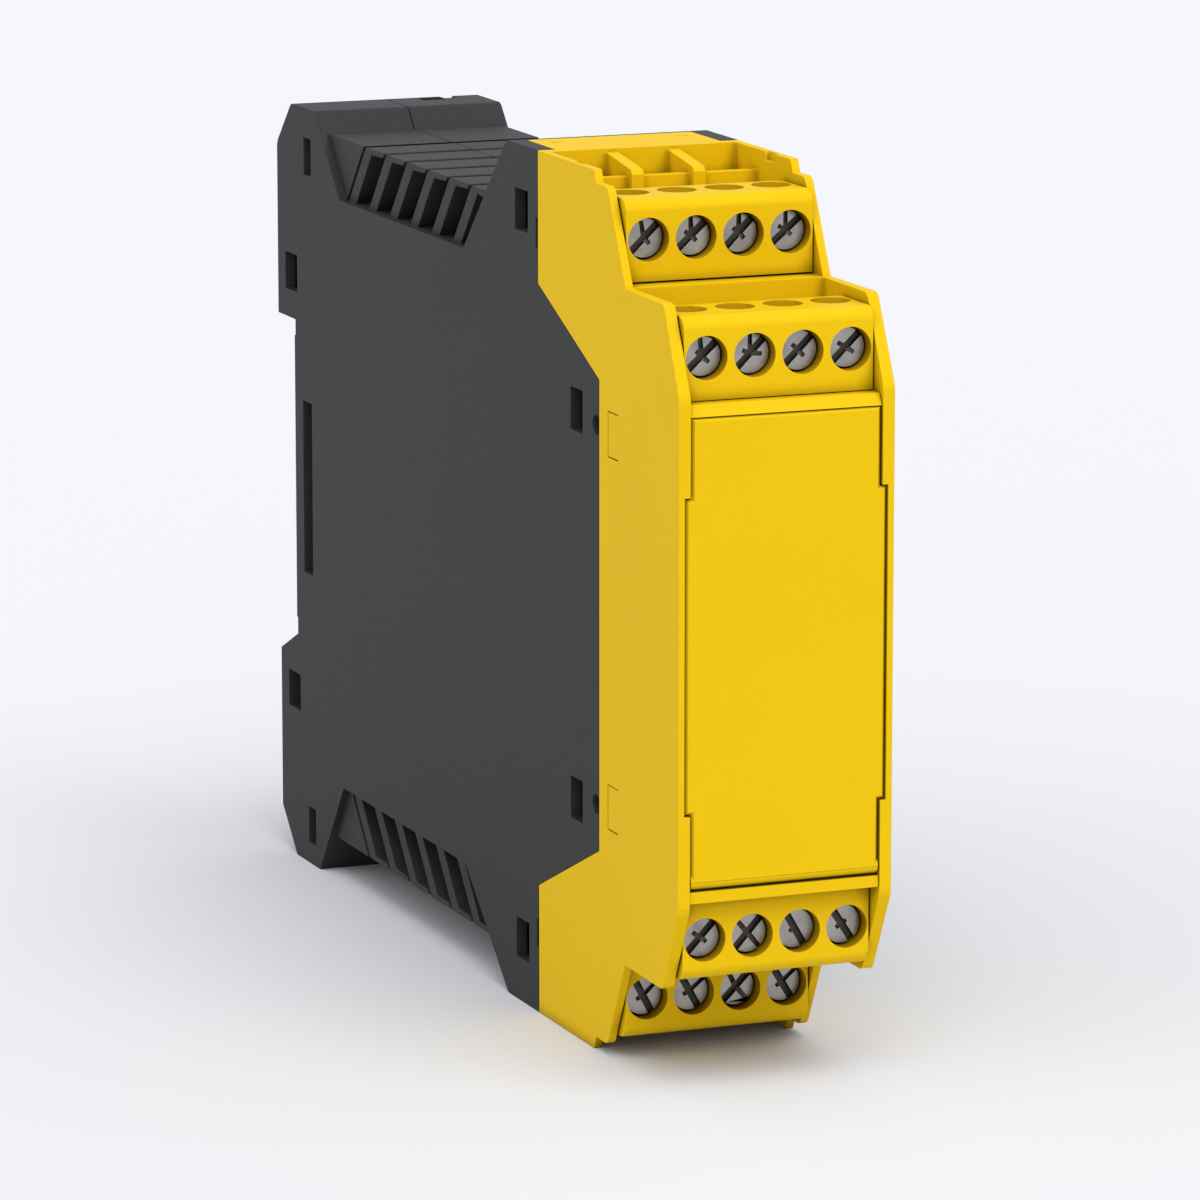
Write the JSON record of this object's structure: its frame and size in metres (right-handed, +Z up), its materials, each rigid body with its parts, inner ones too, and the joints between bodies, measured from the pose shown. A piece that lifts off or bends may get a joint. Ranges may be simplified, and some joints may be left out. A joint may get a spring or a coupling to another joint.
{
  "type": "safety control module",
  "caption": "Slim rail-mounted safety relay module: grey vented half shells, yellow stepped front with plug-in screw terminals, hinged cover and sprung rail foot.",
  "frame": {"origin": "centre of the base footprint, on the plane that the module rests on", "axes": "+X to the module's right when seen from the rear, +Y from the front face to the rail side, +Z up"},
  "size_m": [0.0226, 0.118, 0.0886],
  "materials": {
    "grey_shell": "fine matte grain",
    "yellow_housing": "fine matte grain",
    "yellow_cover": "smooth matte",
    "yellow_plug": "smooth matte",
    "clear_guide": "clear",
    "selector_white": "smooth",
    "switch_black": "smooth",
    "screw_steel": "dull plated",
    "clamp_steel": "plated",
    "tinned_contact": "tinned",
    "board_green": "solder resist",
    "relay_case": "smooth",
    "capacitor_can": "sleeved can",
    "foot_black": "smooth",
    "spring_steel": "bright strip"
  },
  "bodies": {
    "module": {"left_shell": "grey_shell", "right_shell": "grey_shell", "front_housing": "yellow_housing", "cover_frame": "yellow_housing", "light_guides": "clear_guide", "selector_base": "switch_black", "header_1": "switch_black", "header_2": "switch_black", "header_3": "switch_black", "header_4": "switch_black", "header_pins": "tinned_contact", "main_board": "board_green", "board_chips": "switch_black", "relay_1": "relay_case", "relay_2": "relay_case", "capacitor": "capacitor_can", "foot_spring": "spring_steel"},
    "cover": {"front_cover": "yellow_cover"},
    "selector": {"mode_selector": "selector_white"},
    "foot": {"rail_foot": "foot_black"},
    "plug_1_body": {"plug_1": "yellow_plug", "contacts_1": "tinned_contact"},
    "screw_1_1_body": {"screw_1_1": "screw_steel"},
    "clamp_1_1_body": {"clamp_1_1": "clamp_steel"},
    "screw_1_2_body": {"screw_1_2": "screw_steel"},
    "clamp_1_2_body": {"clamp_1_2": "clamp_steel"},
    "screw_1_3_body": {"screw_1_3": "screw_steel"},
    "clamp_1_3_body": {"clamp_1_3": "clamp_steel"},
    "screw_1_4_body": {"screw_1_4": "screw_steel"},
    "clamp_1_4_body": {"clamp_1_4": "clamp_steel"},
    "plug_2_body": {"plug_2": "yellow_plug", "contacts_2": "tinned_contact"},
    "screw_2_1_body": {"screw_2_1": "screw_steel"},
    "clamp_2_1_body": {"clamp_2_1": "clamp_steel"},
    "screw_2_2_body": {"screw_2_2": "screw_steel"},
    "clamp_2_2_body": {"clamp_2_2": "clamp_steel"},
    "screw_2_3_body": {"screw_2_3": "screw_steel"},
    "clamp_2_3_body": {"clamp_2_3": "clamp_steel"},
    "screw_2_4_body": {"screw_2_4": "screw_steel"},
    "clamp_2_4_body": {"clamp_2_4": "clamp_steel"},
    "plug_3_body": {"plug_3": "yellow_plug", "contacts_3": "tinned_contact"},
    "screw_3_1_body": {"screw_3_1": "screw_steel"},
    "clamp_3_1_body": {"clamp_3_1": "clamp_steel"},
    "screw_3_2_body": {"screw_3_2": "screw_steel"},
    "clamp_3_2_body": {"clamp_3_2": "clamp_steel"},
    "screw_3_3_body": {"screw_3_3": "screw_steel"},
    "clamp_3_3_body": {"clamp_3_3": "clamp_steel"},
    "screw_3_4_body": {"screw_3_4": "screw_steel"},
    "clamp_3_4_body": {"clamp_3_4": "clamp_steel"},
    "plug_4_body": {"plug_4": "yellow_plug", "contacts_4": "tinned_contact"},
    "screw_4_1_body": {"screw_4_1": "screw_steel"},
    "clamp_4_1_body": {"clamp_4_1": "clamp_steel"},
    "screw_4_2_body": {"screw_4_2": "screw_steel"},
    "clamp_4_2_body": {"clamp_4_2": "clamp_steel"},
    "screw_4_3_body": {"screw_4_3": "screw_steel"},
    "clamp_4_3_body": {"clamp_4_3": "clamp_steel"},
    "screw_4_4_body": {"screw_4_4": "screw_steel"},
    "clamp_4_4_body": {"clamp_4_4": "clamp_steel"}
  },
  "joints": [
    {"name": "front_cover_hinge", "type": "hinge", "parent": "module", "child": "cover", "pos_m": [0, -0.058, 0.02205], "axis": [1, 0, 0], "range_deg": [0, 90]},
    {"name": "mode_selector_turn", "type": "hinge", "parent": "module", "child": "selector", "pos_m": [0, -0.0545, 0.0553], "axis": [0, 1, 0], "range_deg": [0, 270]},
    {"name": "rail_foot_slide", "type": "slide", "parent": "module", "child": "foot", "axis": [0, 0, -1], "range_m": [0, 0.003], "stiffness_N_per_m": 1500, "springref_m": -0.002, "deforming": ["foot_spring"]},
    {"name": "plug_1_slide", "type": "slide", "parent": "module", "child": "plug_1_body", "axis": [0, -1, 0], "range_m": [0, 0.0165]},
    {"name": "screw_1_1_turn", "type": "hinge", "parent": "plug_1_body", "child": "screw_1_1_body", "pos_m": [-0.0075, -0.0407, 0.0823], "axis": [0, 1, 0], "range_deg": [0, 1080]},
    {"name": "clamp_1_1_slide", "type": "slide", "parent": "plug_1_body", "child": "clamp_1_1_body", "axis": [0, -1, 0], "range_m": [0, 0.0012]},
    {"name": "screw_1_2_turn", "type": "hinge", "parent": "plug_1_body", "child": "screw_1_2_body", "pos_m": [-0.0025, -0.0407, 0.0823], "axis": [0, 1, 0], "range_deg": [0, 1080]},
    {"name": "clamp_1_2_slide", "type": "slide", "parent": "plug_1_body", "child": "clamp_1_2_body", "axis": [0, -1, 0], "range_m": [0, 0.0012]},
    {"name": "screw_1_3_turn", "type": "hinge", "parent": "plug_1_body", "child": "screw_1_3_body", "pos_m": [0.0025, -0.0407, 0.0823], "axis": [0, 1, 0], "range_deg": [0, 1080]},
    {"name": "clamp_1_3_slide", "type": "slide", "parent": "plug_1_body", "child": "clamp_1_3_body", "axis": [0, -1, 0], "range_m": [0, 0.0012]},
    {"name": "screw_1_4_turn", "type": "hinge", "parent": "plug_1_body", "child": "screw_1_4_body", "pos_m": [0.0075, -0.0407, 0.0823], "axis": [0, 1, 0], "range_deg": [0, 1080]},
    {"name": "clamp_1_4_slide", "type": "slide", "parent": "plug_1_body", "child": "clamp_1_4_body", "axis": [0, -1, 0], "range_m": [0, 0.0012]},
    {"name": "plug_2_slide", "type": "slide", "parent": "module", "child": "plug_2_body", "axis": [0, -1, 0], "range_m": [0, 0.0165]},
    {"name": "screw_2_1_turn", "type": "hinge", "parent": "plug_2_body", "child": "screw_2_1_body", "pos_m": [-0.0075, -0.0555, 0.0729], "axis": [0, 1, 0], "range_deg": [0, 1080]},
    {"name": "clamp_2_1_slide", "type": "slide", "parent": "plug_2_body", "child": "clamp_2_1_body", "axis": [0, -1, 0], "range_m": [0, 0.0012]},
    {"name": "screw_2_2_turn", "type": "hinge", "parent": "plug_2_body", "child": "screw_2_2_body", "pos_m": [-0.0025, -0.0555, 0.0729], "axis": [0, 1, 0], "range_deg": [0, 1080]},
    {"name": "clamp_2_2_slide", "type": "slide", "parent": "plug_2_body", "child": "clamp_2_2_body", "axis": [0, -1, 0], "range_m": [0, 0.0012]},
    {"name": "screw_2_3_turn", "type": "hinge", "parent": "plug_2_body", "child": "screw_2_3_body", "pos_m": [0.0025, -0.0555, 0.0729], "axis": [0, 1, 0], "range_deg": [0, 1080]},
    {"name": "clamp_2_3_slide", "type": "slide", "parent": "plug_2_body", "child": "clamp_2_3_body", "axis": [0, -1, 0], "range_m": [0, 0.0012]},
    {"name": "screw_2_4_turn", "type": "hinge", "parent": "plug_2_body", "child": "screw_2_4_body", "pos_m": [0.0075, -0.0555, 0.0729], "axis": [0, 1, 0], "range_deg": [0, 1080]},
    {"name": "clamp_2_4_slide", "type": "slide", "parent": "plug_2_body", "child": "clamp_2_4_body", "axis": [0, -1, 0], "range_m": [0, 0.0012]},
    {"name": "plug_3_slide", "type": "slide", "parent": "module", "child": "plug_3_body", "axis": [0, -1, 0], "range_m": [0, 0.0165]},
    {"name": "screw_3_1_turn", "type": "hinge", "parent": "plug_3_body", "child": "screw_3_1_body", "pos_m": [-0.0075, -0.0555, 0.0157], "axis": [0, 1, 0], "range_deg": [0, 1080]},
    {"name": "clamp_3_1_slide", "type": "slide", "parent": "plug_3_body", "child": "clamp_3_1_body", "axis": [0, -1, 0], "range_m": [0, 0.0012]},
    {"name": "screw_3_2_turn", "type": "hinge", "parent": "plug_3_body", "child": "screw_3_2_body", "pos_m": [-0.0025, -0.0555, 0.0157], "axis": [0, 1, 0], "range_deg": [0, 1080]},
    {"name": "clamp_3_2_slide", "type": "slide", "parent": "plug_3_body", "child": "clamp_3_2_body", "axis": [0, -1, 0], "range_m": [0, 0.0012]},
    {"name": "screw_3_3_turn", "type": "hinge", "parent": "plug_3_body", "child": "screw_3_3_body", "pos_m": [0.0025, -0.0555, 0.0157], "axis": [0, 1, 0], "range_deg": [0, 1080]},
    {"name": "clamp_3_3_slide", "type": "slide", "parent": "plug_3_body", "child": "clamp_3_3_body", "axis": [0, -1, 0], "range_m": [0, 0.0012]},
    {"name": "screw_3_4_turn", "type": "hinge", "parent": "plug_3_body", "child": "screw_3_4_body", "pos_m": [0.0075, -0.0555, 0.0157], "axis": [0, 1, 0], "range_deg": [0, 1080]},
    {"name": "clamp_3_4_slide", "type": "slide", "parent": "plug_3_body", "child": "clamp_3_4_body", "axis": [0, -1, 0], "range_m": [0, 0.0012]},
    {"name": "plug_4_slide", "type": "slide", "parent": "module", "child": "plug_4_body", "axis": [0, -1, 0], "range_m": [0, 0.0165]},
    {"name": "screw_4_1_turn", "type": "hinge", "parent": "plug_4_body", "child": "screw_4_1_body", "pos_m": [-0.0075, -0.0407, 0.0063], "axis": [0, 1, 0], "range_deg": [0, 1080]},
    {"name": "clamp_4_1_slide", "type": "slide", "parent": "plug_4_body", "child": "clamp_4_1_body", "axis": [0, -1, 0], "range_m": [0, 0.0012]},
    {"name": "screw_4_2_turn", "type": "hinge", "parent": "plug_4_body", "child": "screw_4_2_body", "pos_m": [-0.0025, -0.0407, 0.0063], "axis": [0, 1, 0], "range_deg": [0, 1080]},
    {"name": "clamp_4_2_slide", "type": "slide", "parent": "plug_4_body", "child": "clamp_4_2_body", "axis": [0, -1, 0], "range_m": [0, 0.0012]},
    {"name": "screw_4_3_turn", "type": "hinge", "parent": "plug_4_body", "child": "screw_4_3_body", "pos_m": [0.0025, -0.0407, 0.0063], "axis": [0, 1, 0], "range_deg": [0, 1080]},
    {"name": "clamp_4_3_slide", "type": "slide", "parent": "plug_4_body", "child": "clamp_4_3_body", "axis": [0, -1, 0], "range_m": [0, 0.0012]},
    {"name": "screw_4_4_turn", "type": "hinge", "parent": "plug_4_body", "child": "screw_4_4_body", "pos_m": [0.0075, -0.0407, 0.0063], "axis": [0, 1, 0], "range_deg": [0, 1080]},
    {"name": "clamp_4_4_slide", "type": "slide", "parent": "plug_4_body", "child": "clamp_4_4_body", "axis": [0, -1, 0], "range_m": [0, 0.0012]}
  ],
  "couplings": [
    {"joint": "screw_1_1_turn", "follows": "clamp_1_1_slide", "rad_per_m": 13963},
    {"joint": "screw_1_2_turn", "follows": "clamp_1_2_slide", "rad_per_m": 13963},
    {"joint": "screw_1_3_turn", "follows": "clamp_1_3_slide", "rad_per_m": 13963},
    {"joint": "screw_1_4_turn", "follows": "clamp_1_4_slide", "rad_per_m": 13963},
    {"joint": "screw_2_1_turn", "follows": "clamp_2_1_slide", "rad_per_m": 13963},
    {"joint": "screw_2_2_turn", "follows": "clamp_2_2_slide", "rad_per_m": 13963},
    {"joint": "screw_2_3_turn", "follows": "clamp_2_3_slide", "rad_per_m": 13963},
    {"joint": "screw_2_4_turn", "follows": "clamp_2_4_slide", "rad_per_m": 13963},
    {"joint": "screw_3_1_turn", "follows": "clamp_3_1_slide", "rad_per_m": 13963},
    {"joint": "screw_3_2_turn", "follows": "clamp_3_2_slide", "rad_per_m": 13963},
    {"joint": "screw_3_3_turn", "follows": "clamp_3_3_slide", "rad_per_m": 13963},
    {"joint": "screw_3_4_turn", "follows": "clamp_3_4_slide", "rad_per_m": 13963},
    {"joint": "screw_4_1_turn", "follows": "clamp_4_1_slide", "rad_per_m": 13963},
    {"joint": "screw_4_2_turn", "follows": "clamp_4_2_slide", "rad_per_m": 13963},
    {"joint": "screw_4_3_turn", "follows": "clamp_4_3_slide", "rad_per_m": 13963},
    {"joint": "screw_4_4_turn", "follows": "clamp_4_4_slide", "rad_per_m": 13963}
  ]
}
